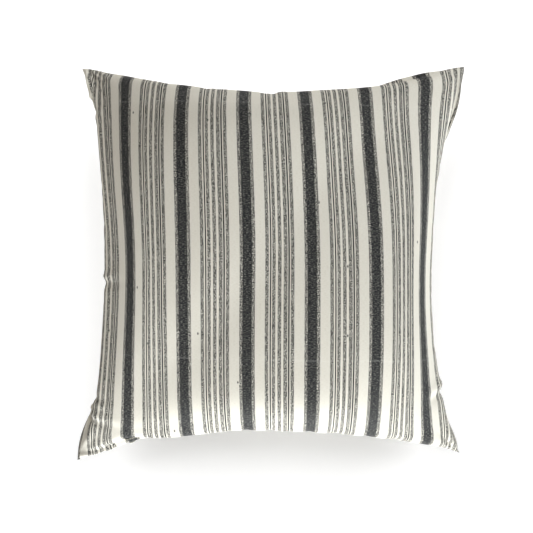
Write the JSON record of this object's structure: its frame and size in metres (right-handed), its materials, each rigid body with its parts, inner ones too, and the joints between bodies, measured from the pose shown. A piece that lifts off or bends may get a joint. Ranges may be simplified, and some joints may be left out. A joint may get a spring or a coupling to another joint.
{
  "type": "throw pillow",
  "caption": "Square knife-edge throw pillow: striped woven cover with a concealed zip along the bottom seam, over a sewn, filled insert.",
  "frame": {"origin": "under the middle of the pillow's box, on the surface that its back lies on", "axes": "+X along the width, to the right as seen from the front face; +Y towards the top edge; +Z out of the front face"},
  "size_m": [0.498, 0.508, 0.1338],
  "materials": {
    "cover_fabric": "matte",
    "sewing_thread": "matte",
    "zip_tape": "matte",
    "zip_coil": "satin",
    "zip_metal": "satin",
    "insert_casing": "matte",
    "fibre_fill": "matte",
    "tag_ribbon": "satin"
  },
  "bodies": {
    "cushion": {"front_panel": "cover_fabric", "back_panel": "cover_fabric", "seam_thread_left": "sewing_thread", "seam_thread_right": "sewing_thread", "seam_thread_top": "sewing_thread", "seam_thread_bottom_left": "sewing_thread", "seam_thread_bottom_right": "sewing_thread", "care_tag": "tag_ribbon", "insert_front_casing": "insert_casing", "insert_back_casing": "insert_casing", "insert_fill": "fibre_fill", "insert_thread_left": "sewing_thread", "insert_thread_right": "sewing_thread", "insert_thread_top": "sewing_thread", "insert_closing_thread": "sewing_thread", "insert_tag": "tag_ribbon", "zip_coil_upper": "zip_coil", "zip_coil_lower": "zip_coil", "zip_tape_upper": "zip_tape", "zip_tape_lower": "zip_tape", "zip_thread_upper": "sewing_thread", "zip_thread_lower": "sewing_thread", "zip_tack_left": "sewing_thread", "zip_tack_right": "sewing_thread"},
    "slider": {"zip_slider": "zip_metal"},
    "pull": {"zip_pull": "zip_metal"}
  },
  "joints": [
    {"name": "zip_travel", "type": "hinge", "parent": "cushion", "child": "slider", "pos_m": [0, -0.90492, 0.0629], "axis": [0, 0, -1], "range_deg": [0, 30.45]},
    {"name": "zip_pull_swing", "type": "hinge", "parent": "slider", "child": "pull", "pos_m": [-0.18248, -0.23449, 0.0629], "axis": [-0.9649, -0.2626, 0], "range_deg": [-15, 160]}
  ]
}
